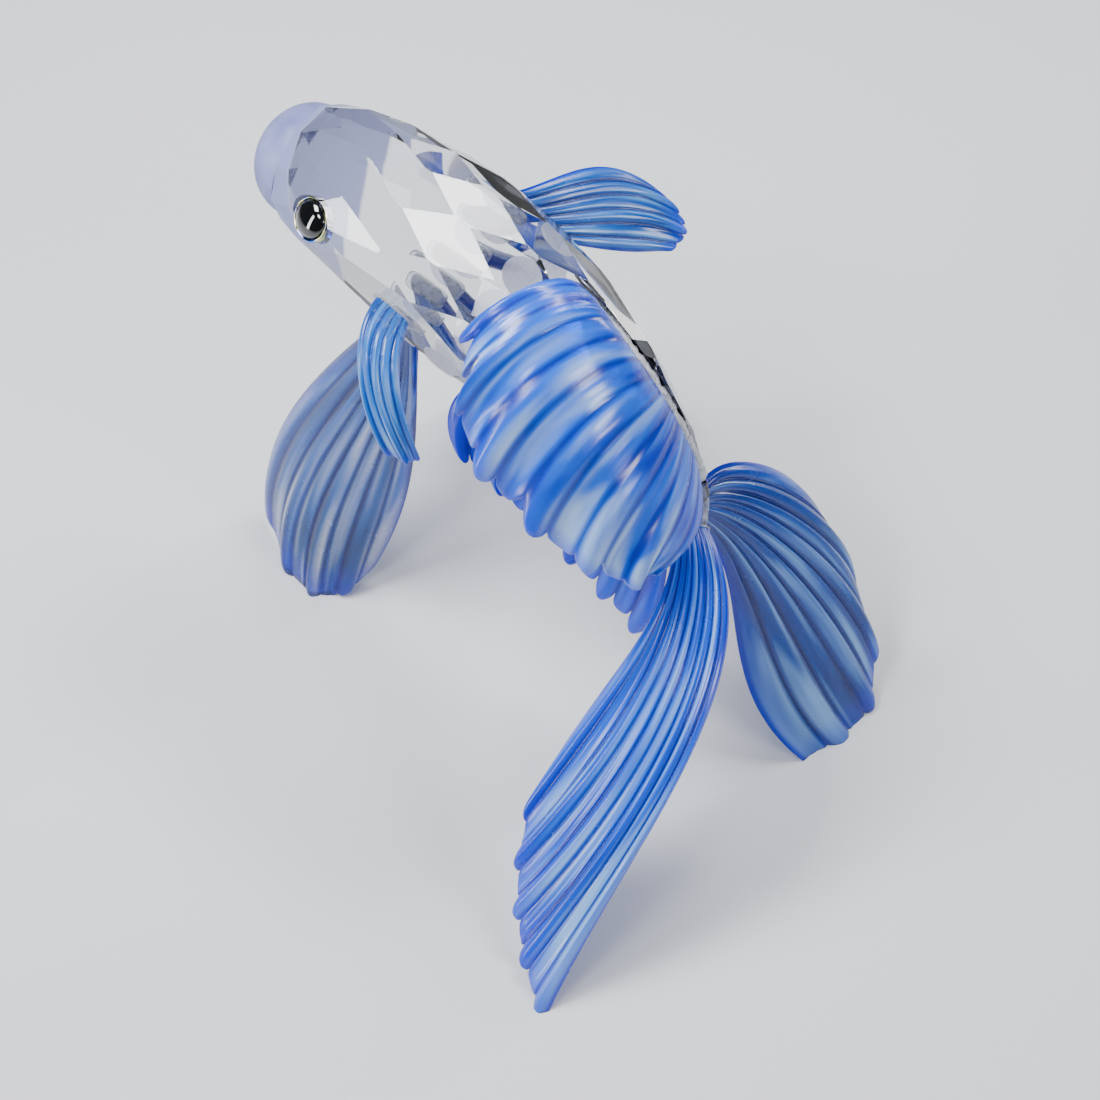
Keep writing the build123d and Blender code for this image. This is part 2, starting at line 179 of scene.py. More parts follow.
def station(s, column):
    """Smooth reading of one column of the body stations."""
    rows = STATIONS
    s = min(max(s, rows[0][0]), rows[-1][0] - 1e-6)
    k = max(i for i in range(len(rows) - 1) if rows[i][0] <= s)
    before, low = rows[max(k - 1, 0)], rows[k]
    high, after = rows[k + 1], rows[min(k + 2, len(rows) - 1)]
    gap = high[0] - low[0]
    t = (s - low[0]) / gap
    slope_low = (high[column] - before[column]) / (high[0] - before[0])
    slope_high = (after[column] - low[column]) / (after[0] - low[0])
    value = (2 * t**3 - 3 * t * t + 1) * low[column]
    value += (t**3 - 2 * t * t + t) * gap * slope_low
    value += (3 * t * t - 2 * t**3) * high[column]
    value += (t**3 - t * t) * gap * slope_high
    return value


def skin(s, angle):
    """Point on the smooth body, angle in degrees from the back towards the left flank."""
    point, heading, up = axis_frame(s)
    turn = math.radians(angle)
    height = station(s, 2) if math.cos(turn) >= 0 else station(s, 3)
    return point + up * (height * math.cos(turn)) - Vector((0, station(s, 1) * math.sin(turn), 0))


def skin_normal(s, angle):
    """Outward normal of the smooth body."""
    along = skin(s + 0.01, angle) - skin(s - 0.01, angle)
    around = skin(s, angle + 0.1) - skin(s, angle - 0.1)
    normal = along.cross(around).normalized()
    return normal if normal.dot(skin(s, angle) - axis_frame(s)[0]) > 0 else -normal


SKIN_SEATS = {
    "anal_fin": (57.5, 180.0, 25.0, (1.0, 0.0, -0.4)),
    "left_pelvic_fin": (29.0, 142.0, 5.0, (1.0, 0.0, -0.2)),
    "right_pelvic_fin": (29.0, -142.0, 5.0, (1.0, 0.0, -0.2)),
    "left_pectoral_fin": (28.5, 97.0, 5.4, (1.0, 0.0, -0.25)),
    "right_pectoral_fin": (29.5, -97.0, 6.4, (1.0, 0.0, -0.7)),
}
STEM_SEATS = {
    "left_tail_lobe": ((13.6, -1.6, 38.2), (0.45, -0.85, -0.28), 4.6, (1.0, 0.3, -0.1)),
    "right_tail_lobe": ((13.0, 1.6, 38.0), (0.4, 0.72, -0.57), 5.0, (0.6, -0.1, -0.75)),
}
seats = {}
for name, (s, angle, length, direction) in SKIN_SEATS.items():
    normal = skin_normal(s, angle)
    origin = skin(s, angle) - normal * SEAT_SINK
    seats[name] = (origin, normal, length, Vector(direction))
for name, (origin, normal, length, direction) in STEM_SEATS.items():
    seats[name] = (Vector(origin), Vector(normal).normalized(), length, Vector(direction))
for name, (origin, normal, length, direction) in seats.items():
    along = (direction - normal * direction.dot(normal)).normalized()
    seats[name] = (origin, normal, length, along)

# Polished lead crystal: clear and heavy in its refraction, so each flat is bright or
# dark as a whole. The two cheeks beside the mouth are left acid-satin, milky and
# lilac, up to a tilted line.
CHEEK_BACK = 7.6
CHEEK_FLANK = 11.4
crystal, tree = blank_material("polished_lead_crystal")


def body_line(s, rise):
    """A place beside the body axis, in metres."""
    point, heading, up = axis_frame(s)
    return (point + up * rise + SHIFT) * MM


line_back = body_line(CHEEK_BACK, 8.5)
line_flank = body_line(CHEEK_FLANK, 0.0)
tilt = Vector((0, 1, 0)).cross(line_back - line_flank).normalized()
if tilt.dot(axis_frame(CHEEK_BACK)[1]) < 0:
    tilt = -tilt
spot = add(tree, "ShaderNodeTexCoord")
haze = add(tree, "ShaderNodeTexNoise", None,
           {"Vector": spot.outputs["Object"], "Scale": 90.0, "Detail": 3.0})
reach = add(tree, "ShaderNodeVectorMath", {"operation": "DOT_PRODUCT"},
            {0: spot.outputs["Object"], 1: tilt})
cheek = add(tree, "ShaderNodeMapRange", None,
            {"Value": reach.outputs["Value"], "From Min": line_flank.dot(tilt) - 0.0002,
             "From Max": line_flank.dot(tilt) + 0.0002, "To Min": 1.0, "To Max": 0.0})
polish = add(tree, "ShaderNodeMapRange", None,
             {"Value": haze.outputs[0], "From Min": 0.35, "From Max": 0.75,
              "To Min": 0.0, "To Max": 0.012})
rough = add(tree, "ShaderNodeMix", {"data_type": "FLOAT"},
            {0: cheek.outputs[0], 2: polish.outputs[0], 3: 0.5})
melt = add(tree, "ShaderNodeValToRGB", None, {"Fac": haze.outputs[0]})
melt.color_ramp.elements[0].color = linear("#F4F7FF")
melt.color_ramp.elements[1].color = linear("#FFFFFF")
skin_tone = add(tree, "ShaderNodeMix", {"data_type": "RGBA"},
                {0: cheek.outputs[0], 6: melt.outputs[0], 7: linear("#959DD4")})
clear_part = add(tree, "ShaderNodeMapRange", None,
                 {"Value": cheek.outputs[0], "To Min": 1.0, "To Max": 0.5})
glass = add(tree, "ShaderNodeBsdfPrincipled", None,
            {"Base Color": skin_tone.outputs[2], "Roughness": rough.outputs[0], "IOR": 1.62,
             "Transmission Weight": clear_part.outputs[0]})
add(tree, "ShaderNodeOutputMaterial", None, {"Surface": glass.outputs[0]})


def dress(node, material):
    """Puts one material on every slot of a CAD node."""
    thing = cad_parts[node]
    if not thing.material_slots:
        thing.data.materials.append(material)
    for holder in thing.material_slots:
        holder.material = material


# The ground solid with its arrises broken: a real wheel leaves a hair of a chamfer
# between two flats, and that hair is what draws the facets.
ARRIS = 0.16
SHORTEST = 1.2
block = bmesh.new()
block.from_mesh(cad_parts["crystal_body"].data)
block.transform(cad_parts["crystal_body"].matrix_world)
bmesh.ops.remove_doubles(block, verts=block.verts[:], dist=2e-6)
bmesh.ops.dissolve_limit(block, angle_limit=math.radians(0.4), verts=block.verts[:],
                         edges=block.edges[:])
arrises = [e for e in block.edges if len(e.link_faces) == 2
           and e.calc_length() > SHORTEST * MM and e.calc_face_angle() > math.radians(2.5)]
bmesh.ops.bevel(block, geom=arrises, offset=ARRIS * MM / 2, segments=1, affect="EDGES",
                clamp_overlap=True)
bmesh.ops.recalc_face_normals(block, faces=block.faces[:])
cut_body = bpy.data.objects.new("cut_crystal_body", bpy.data.meshes.new("cut_crystal_body"))
bpy.context.scene.collection.objects.link(cut_body)
block.to_mesh(cut_body.data)
block.free()
cut_body.data.polygons.foreach_set("use_smooth", [False] * len(cut_body.data.polygons))
cut_body.data.materials.append(crystal)
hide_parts("crystal_body")
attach(cut_body, "root")


# ---------------------------------------------------------------------------
# Scale marks: round satin marks blasted on the lower flank flats, one to a flat, so
# the polished upper flats show them broken up and repeated.
# ---------------------------------------------------------------------------
MARK_ROWS = [30.0, 37.5]
FLATS_IN_A_ROW = 12
LEFT_FLANK = (95, 150)
RIGHT_FLANK = (210, 265)
MARK_RADIUS = 2.8
MARK_THICKNESS = 0.04
MARK_LIFT = 0.03


def node_tree(name, inputs):
    """An empty geometry node tree with named inputs after the geometry."""
    tree = bpy.data.node_groups.new(name, "GeometryNodeTree")
    tree.interface.new_socket("Geometry", in_out="INPUT", socket_type="NodeSocketGeometry")
    for label, kind in inputs:
        tree.interface.new_socket(label, in_out="INPUT", socket_type="NodeSocket" + kind)
    tree.interface.new_socket("Geometry", in_out="OUTPUT", socket_type="NodeSocketGeometry")
    return tree


def grow(thing, tree, values):
    """Runs a geometry node tree on an object and keeps its plain mesh."""
    modifier = thing.modifiers.new(tree.name, "NODES")
    modifier.node_group = tree
    for item in tree.interface.items_tree:
        if item.in_out == "INPUT" and item.name in values:
            modifier[item.identifier] = values[item.name]
    bpy.context.view_layer.update()
    graph = bpy.context.evaluated_depsgraph_get()
    grown = bpy.data.meshes.new_from_object(thing.evaluated_get(graph), depsgraph=graph)
    thing.modifiers.clear()
    old = thing.data
    thing.data = grown
    bpy.data.meshes.remove(old)
    grown.name = thing.name
    grown.materials.clear()
    grown.materials.append(values["Material"])
    grown.polygons.foreach_set("material_index", [0] * len(grown.polygons))


marks_tree = node_tree("satin_marks", [("Radius", "Float"), ("Thickness", "Float"),
                                       ("Material", "Material")])
entry = add(marks_tree, "NodeGroupInput")
disc = add(marks_tree, "GeometryNodeMeshCylinder", {"fill_type": "NGON"},
           {"Vertices": 48, "Radius": entry.outputs["Radius"], "Depth": entry.outputs["Thickness"]})
facing = add(marks_tree, "GeometryNodeInputNamedAttribute", {"data_type": "FLOAT_VECTOR"},
             {"Name": "facing"})
turned = add(marks_tree, "FunctionNodeAlignRotationToVector", {"axis": "Z"},
             {"Vector": facing.outputs[0]})
set_out = add(marks_tree, "GeometryNodeInstanceOnPoints", None,
              {"Points": entry.outputs[0], "Instance": disc.outputs[0],
               "Rotation": turned.outputs[0]})
real = add(marks_tree, "GeometryNodeRealizeInstances", None, {0: set_out.outputs[0]})
coated = add(marks_tree, "GeometryNodeSetMaterial", None,
             {"Geometry": real.outputs[0], "Material": entry.outputs["Material"]})
add(marks_tree, "NodeGroupOutput", None, {0: coated.outputs[0]})

# Blasted crystal: a grainy white skin that scatters light and lets half of it through.
blasted, tree = blank_material("sandblasted_crystal")
spot = add(tree, "ShaderNodeTexCoord")
grain = add(tree, "ShaderNodeTexNoise", None,
            {"Vector": spot.outputs["Object"], "Scale": 2600.0, "Detail": 2.0})
tone = add(tree, "ShaderNodeValToRGB", None, {"Fac": grain.outputs[0]})
tone.color_ramp.elements[0].position = 0.3
tone.color_ramp.elements[0].color = linear("#D9DAEC")
tone.color_ramp.elements[1].position = 0.7
tone.color_ramp.elements[1].color = linear("#FBFBFF")
matt = add(tree, "ShaderNodeBsdfPrincipled", None,
           {"Base Color": tone.outputs[0], "Roughness": 0.7, "IOR": 1.3,
            "Transmission Weight": 0.8})
add(tree, "ShaderNodeOutputMaterial", None, {"Surface": matt.outputs[0]})

spots = []
facings = []
for s in MARK_ROWS:
    row = FACET_ROWS.index(s)
    for k in range(FLATS_IN_A_ROW):
        angle = 360.0 * (k + 0.5 * (row % 2)) / FLATS_IN_A_ROW
        if LEFT_FLANK[0] < angle < LEFT_FLANK[1] or RIGHT_FLANK[0] < angle < RIGHT_FLANK[1]:
            spots.append((skin(s, angle) + skin_normal(s, angle) * MARK_LIFT + SHIFT) * MM)
            facings.append(skin_normal(s, angle))
scale_marks = mesh_object("scale_marks", spots, [])
facing_store = scale_marks.data.attributes.new("facing", "FLOAT_VECTOR", "POINT")
for k, normal in enumerate(facings):
    facing_store.data[k].vector = normal
grow(scale_marks, marks_tree, {"Radius": MARK_RADIUS * MM, "Thickness": MARK_THICKNESS * MM,
                               "Material": blasted})
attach(scale_marks, "root")

# ---------------------------------------------------------------------------
# Mouth: a satin dome of pressed crystal with a lip slit, bonded to the front flat.
# ---------------------------------------------------------------------------
# Acid-satin crystal: an even lilac haze with a soft sheen and no clear reflection.
satin, tree = blank_material("acid_satin_crystal")
spot = add(tree, "ShaderNodeTexCoord")
grain = add(tree, "ShaderNodeTexNoise", None,
            {"Vector": spot.outputs["Object"], "Scale": 1800.0, "Detail": 3.0})
cloud = add(tree, "ShaderNodeTexNoise", None,
            {"Vector": spot.outputs["Object"], "Scale": 220.0, "Detail": 2.0})
tone = add(tree, "ShaderNodeValToRGB", None, {"Fac": cloud.outputs[0]})
tone.color_ramp.elements[0].position = 0.3
tone.color_ramp.elements[0].color = linear("#727CBE")
tone.color_ramp.elements[1].position = 0.7
tone.color_ramp.elements[1].color = linear("#A4ACE0")
rough = add(tree, "ShaderNodeMapRange", None,
            {"Value": grain.outputs[0], "To Min": 0.38, "To Max": 0.62})
relief = add(tree, "ShaderNodeBump", None,
             {"Height": grain.outputs[0], "Strength": 0.15, "Distance": 0.00004})
matt = add(tree, "ShaderNodeBsdfPrincipled", None,
           {"Base Color": tone.outputs[0], "Roughness": rough.outputs[0], "IOR": 1.52,
            "Transmission Weight": 0.5, "Normal": relief.outputs[0]})
add(tree, "ShaderNodeOutputMaterial", None, {"Surface": matt.outputs[0]})
dress("frosted_mouth", satin)

# ---------------------------------------------------------------------------
# Eyes: on each side a foil ring sunk in its pocket round a domed black stone.
# ---------------------------------------------------------------------------
EYE_CENTRE = (-40.2, 9.0, 68.9)
EYE_AXIS = (-0.2, 0.8, 0.57)
RING_PROFILE = [(2.56, -1.55), (2.56, 0.30), (2.62, 0.40), (2.72, 0.46), (2.84, 0.44), (2.95, 0.34),
                (3.02, 0.18), (3.04, 0.0), (3.04, -1.55)]
STONE_RADIUS = 2.49
STONE_FOOT = -1.55
STONE_WALL = 0.25
DOME_RISE = 1.1
DOME_STEPS = 10


def lathe(name, profile, axis_point, axis, closed, steps=96):
    """A solid of revolution; the profile lists radius and height along the axis."""
    axis = Vector(axis).normalized()
    turn = axis.to_track_quat("Z", "Y")
    vertices = []
    faces = []
    rows = []
    for radius, height in profile:
        if radius < 1e-6:
            rows.append([len(vertices)])
            vertices.append(Vector(axis_point) + turn @ Vector((0, 0, height)))
            continue
        row = []
        for k in range(steps):
            a = 2 * math.pi * k / steps
            row.append(len(vertices))
            vertices.append(Vector(axis_point)
                            + turn @ Vector((radius * math.cos(a), radius * math.sin(a), height)))
        rows.append(row)
    pairs = list(zip(rows, rows[1:]))
    if closed:
        pairs.append((rows[-1], rows[0]))
    for low, high in pairs:
        for k in range(steps):
            n = (k + 1) % steps
            if len(high) == 1:
                faces.append((low[k], low[n], high[0]))
            elif len(low) == 1:
                faces.append((low[0], high[n], high[k]))
            else:
                faces.append((low[k], low[n], high[n], high[k]))
    thing = mesh_object(name, [(v + SHIFT) * MM for v in vertices], faces)
    tidy = bmesh.new()
    tidy.from_mesh(thing.data)
    bmesh.ops.recalc_face_normals(tidy, faces=tidy.faces[:])
    tidy.to_mesh(thing.data)
    tidy.free()
    return thing


# Black glass: opaque, fire polished, one hard highlight.
onyx, tree = blank_material("fire_polished_black_glass")
spot = add(tree, "ShaderNodeTexCoord")
haze = add(tree, "ShaderNodeTexNoise", None,
           {"Vector": spot.outputs["Object"], "Scale": 900.0, "Detail": 2.0})
rough = add(tree, "ShaderNodeMapRange", None,
            {"Value": haze.outputs[0], "To Min": 0.01, "To Max": 0.06})
tone = add(tree, "ShaderNodeValToRGB", None, {"Fac": haze.outputs[0]})
tone.color_ramp.elements[0].color = linear("#050607")
tone.color_ramp.elements[1].color = linear("#0B0D10")
stone = add(tree, "ShaderNodeBsdfPrincipled", None,
            {"Base Color": tone.outputs[0], "Roughness": rough.outputs[0], "IOR": 1.6,
             "Coat Weight": 1.0, "Coat Roughness": 0.02})
add(tree, "ShaderNodeOutputMaterial", None, {"Surface": stone.outputs[0]})

# Vacuum foil: a mirror film whose tint runs from green through gold to blue.
foil, tree = blank_material("vacuum_coated_foil")
spot = add(tree, "ShaderNodeTexCoord")
drift = add(tree, "ShaderNodeTexNoise", None,
            {"Vector": spot.outputs["Object"], "Scale": 420.0, "Detail": 1.0})
tone = add(tree, "ShaderNodeValToRGB", None, {"Fac": drift.outputs[0]})
tone.color_ramp.elements[0].position = 0.30
tone.color_ramp.elements[0].color = linear("#3FA07E")
tone.color_ramp.elements[1].position = 0.70
tone.color_ramp.elements[1].color = linear("#4C7BD8")
middle = tone.color_ramp.elements.new(0.5)
middle.color = linear("#D9D3A0")
rough = add(tree, "ShaderNodeMapRange", None,
            {"Value": drift.outputs[0], "To Min": 0.08, "To Max": 0.2})
film = add(tree, "ShaderNodeBsdfPrincipled", None,
           {"Base Color": tone.outputs[0], "Roughness": rough.outputs[0], "Metallic": 1.0})
add(tree, "ShaderNodeOutputMaterial", None, {"Surface": film.outputs[0]})

for side, name in ((-1, "left"), (1, "right")):
    eye_point = Vector((EYE_CENTRE[0], EYE_CENTRE[1] * side, EYE_CENTRE[2]))
    eye_axis = (EYE_AXIS[0], EYE_AXIS[1] * side, EYE_AXIS[2])
    ring = lathe(name + "_eye_ring_foil", RING_PROFILE, eye_point, eye_axis, True)
    ring.data.materials.append(foil)
    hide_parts(name + "_eye_ring")
    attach(ring, "root")
    dome = [(0.0, STONE_FOOT), (STONE_RADIUS, STONE_FOOT), (STONE_RADIUS, STONE_WALL)]
    for k in range(1, DOME_STEPS + 1):
        a = math.pi / 2 * k / DOME_STEPS
        dome.append((STONE_RADIUS * math.cos(a) if k < DOME_STEPS else 0.0,
                     STONE_WALL + DOME_RISE * math.sin(a)))
    bead = lathe(name + "_eye_stone", dome, eye_point, eye_axis, False)
    bead.data.materials.append(onyx)
    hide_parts(name + "_eye_cabochon")
    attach(bead, "root")

# ---------------------------------------------------------------------------
# Tail lobes: two pressed blades of blue glass, acid-satin on both faces. Each is a
# fan of round ribs that ends in its own lobe, and is bonded to the stem end.
# ---------------------------------------------------------------------------
BOND = 0.15
ROOT_SINK = 0.6
ROWS = 96
COLUMNS_PER_RIB = 14


def lagrange(count, value):
    """Blend weights of evenly spaced stations at places between 0 and 1."""
    places = [i / (count - 1) for i in range(count)]
    result = []
    for i in range(count):
        weight = np.ones_like(value)
        for j in range(count):
            if i != j:
                weight = weight * (value - places[j]) / (places[i] - places[j])
        result.append(weight[..., None])
    return result


def blade_point(root, rays, u, v):
    """Middle surface of a fin, u from root to tip and v across it."""
    across = lagrange(len(rays), v)
    along = lagrange(4, u)
    point = root(v) * along[0]
    for i, ray in enumerate(rays):
        for j, stop in enumerate(ray):
            point = point + np.array(stop) * across[i] * along[j + 1]
    return point


def blade_normal(root, rays, u, v):
    """Normal of the middle surface."""
    du = blade_point(root, rays, u + 0.01, v) - blade_point(root, rays, u - 0.01, v)
    dv = blade_point(root, rays, u, v + 0.01) - blade_point(root, rays, u, v - 0.01)
    normal = np.cross(du, dv)
    return normal / np.linalg.norm(normal, axis=-1, keepdims=True)


def seat_root(name):
    """The straight root of a fin on its ground seat."""
    origin, normal, length, along = seats[name]
    return lambda v: np.array(origin) + np.array(along) * ((v - 0.5) * length)[..., None]


press_tree = node_tree("pressed_ribs", [("Ribs", "Float"), ("Root Half", "Float"),
                                        ("Tip Half", "Float"), ("Rib Depth", "Float"),
                                        ("Ripple", "Float"), ("Flow", "Float"),
                                        ("Roundness", "Float"),
                                        ("Material", "Material")])
entry = add(press_tree, "NodeGroupInput")


def maths(operation, first, second=None):
    """One arithmetic node in the rib tree."""
    links = {0: first} if second is None else {0: first, 1: second}
    return add(press_tree, "ShaderNodeMath", {"operation": operation}, links).outputs[0]


def named(name, kind="FLOAT"):
    """One attribute of the blank blade."""
    return add(press_tree, "GeometryNodeInputNamedAttribute", {"data_type": kind},
               {"Name": name}).outputs[0]


reach = named("reach")
phase = maths("MULTIPLY", maths("MULTIPLY", named("across"), entry.outputs["Ribs"]), math.pi)
swing = maths("SINE", phase)
crest = maths("POWER", maths("ABSOLUTE", swing), entry.outputs["Roundness"])
growth = maths("MINIMUM", maths("MULTIPLY", reach, 4.0), 1.0)
valley = maths("MULTIPLY", maths("SUBTRACT", 1.0, crest), growth)
thin = maths("SUBTRACT", 1.0, maths("MULTIPLY", valley, entry.outputs["Rib Depth"]))
taper = maths("MULTIPLY", maths("SUBTRACT", entry.outputs["Tip Half"], entry.outputs["Root Half"]),
              reach)
half_thickness = maths("MULTIPLY", maths("ADD", entry.outputs["Root Half"], taper), thin)
wave = maths("MULTIPLY", maths("MULTIPLY", maths("POWER", reach, 2.6), swing),
             entry.outputs["Ripple"])
lines = add(press_tree, "ShaderNodeCombineXYZ", None,
            {"X": maths("MULTIPLY", phase, 0.75), "Y": maths("MULTIPLY", reach, 1.6)})
flow_noise = add(press_tree, "ShaderNodeTexNoise", None,
                 {"Vector": lines.outputs[0], "Scale": 1.4, "Detail": 1.5})
flow = maths("MULTIPLY", maths("SUBTRACT", flow_noise.outputs[0], 0.5), entry.outputs["Flow"])
rise = maths("ADD", maths("ADD", wave, flow), maths("MULTIPLY", half_thickness, named("side")))
push = add(press_tree, "ShaderNodeVectorMath", {"operation": "SCALE"},
           {0: named("facing", "FLOAT_VECTOR"), "Scale": rise})
moved = add(press_tree, "GeometryNodeSetPosition", None,
            {"Geometry": entry.outputs[0], "Offset": push.outputs[0]})
real = add(press_tree, "GeometryNodeRealizeInstances", None, {0: moved.outputs[0]})
coated = add(press_tree, "GeometryNodeSetMaterial", None,
             {"Geometry": real.outputs[0], "Material": entry.outputs["Material"]})
add(press_tree, "NodeGroupOutput", None, {0: coated.outputs[0]})


def round_over(places, start):
    """Quarter-round that falls from 1 to 0 after a start between 0 and 1."""
    run = np.clip((places - start) / (1 - start), 0, 1)
    return np.sqrt(np.clip(1 - run * run, 0, 1))


def press_fin(name, node, root, rays, ribs, halves, ripple, scallop, material,
              seat=None, stands=False, depth=0.5, flow=0.30, roundness=0.6,
              tip_round=0.03, nicks=()):
    """One pressed fin as a closed mesh that stands for its CAD node."""
    t = np.sort(np.concatenate([np.linspace(0, 1, ROWS), 1 - np.geomspace(0.0004, 0.009, 6)]))
    border = np.geomspace(0.0003, 0.004, 4)
    v = np.sort(np.concatenate([np.linspace(0, 1, COLUMNS_PER_RIB * ribs + 1), border, 1 - border]))
    rows, columns = len(t), len(v)
    crest = np.abs(np.sin(np.pi * ribs * v)) ** 0.5
    tip = 1 - scallop * (1 - crest)
    for nick_place, nick_width, nick_depth in nicks:
        tip = tip - nick_depth * np.exp(-((v - nick_place) / nick_width) ** 2)
    length = float(np.linalg.norm(blade_point(root, rays, np.array(1.0), np.array(0.5))
                                  - blade_point(root, rays, np.array(0.0), np.array(0.5))))
    start = 0.0 if seat is None else -ROOT_SINK / length
    u = start + (tip[None, :] - start) * t[:, None]
    across = np.broadcast_to(v[None, :], u.shape)
    middle = blade_point(root, rays, u, across)
    normal = blade_normal(root, rays, u, across)
    edge = 0.35 / ribs
    rim = round_over(1 - np.minimum(v, 1 - v), 1 - edge)
    thin = 0.55 + 0.45 * np.minimum(1, 8 * np.minimum(v, 1 - v))
    side = round_over(t, 1 - tip_round)[:, None] * (rim * thin)[None, :]
    vertices, reach, place, sign, facing = [], [], [], [], []
    index = np.zeros((2, rows, columns), int)
    for face, way in ((0, 1.0), (1, -1.0)):
        for i in range(rows):
            for j in range(columns):
                at_border = i == rows - 1 or j == 0 or j == columns - 1
                if face == 1 and at_border:
                    index[1, i, j] = index[0, i, j]
                    continue
                index[face, i, j] = len(vertices)
                vertices.append(middle[i, j])
                reach.append(u[i, j])
                place.append(v[j])
                sign.append(0.0 if at_border else way * side[i, j])
                facing.append(normal[i, j])
    faces = []
    for i in range(rows - 1):
        for j in range(columns - 1):
            a, b, c, d = ((i, j), (i, j + 1), (i + 1, j + 1), (i + 1, j))
            faces.append([int(index[0][p]) for p in (a, b, c, d)])
            faces.append([int(index[1][p]) for p in (d, c, b, a)])
    if seat is None:
        for j in range(columns - 1):
            cap = [int(index[0, 0, j + 1]), int(index[0, 0, j]),
                   int(index[1, 0, j]), int(index[1, 0, j + 1])]
            faces.append(list(dict.fromkeys(cap)))
    shifted = (np.array(vertices) + np.array(SHIFT)) * MM
    thing = mesh_object(name, shifted, faces)
    for label, kind, values in (("reach", "FLOAT", reach), ("across", "FLOAT", place),
                                ("side", "FLOAT", sign), ("facing", "FLOAT_VECTOR", facing)):
        store = thing.data.attributes.new(label, kind, "POINT")
        field = "vector" if kind == "FLOAT_VECTOR" else "value"
        store.data.foreach_set(field, np.array(values, dtype=np.float32).ravel())
    grow(thing, press_tree, {"Ribs": float(ribs), "Root Half": halves[0] * MM,
                             "Tip Half": halves[1] * MM, "Rib Depth": depth,
                             "Ripple": ripple * MM, "Flow": flow * MM, "Roundness": roundness,
                             "Material": material})
    ground = bmesh.new()
    ground.from_mesh(thing.data)
    cuts = []
    if seat is not None:
        origin, outward = seats[seat][0], seats[seat][1]
        cuts.append(((origin + outward * BOND + SHIFT) * MM, outward))
    if stands:
        cuts.append((Vector((0, 0, 0)), Vector((0, 0, 1))))
    for point, outward in cuts:
        bmesh.ops.bisect_plane(ground, geom=ground.verts[:] + ground.edges[:] + ground.faces[:],
                               dist=1e-7, plane_co=point, plane_no=outward, clear_inner=True)
    bmesh.ops.holes_fill(ground, edges=[e for e in ground.edges if e.is_boundary], sides=0)
    bmesh.ops.recalc_face_normals(ground, faces=ground.faces[:])
    if ground.calc_volume(signed=True) < 0:
        bmesh.ops.reverse_faces(ground, faces=ground.faces[:])
    ground.to_mesh(thing.data)
    ground.free()
    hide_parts(node)
    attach(thing, "root")
    return thing


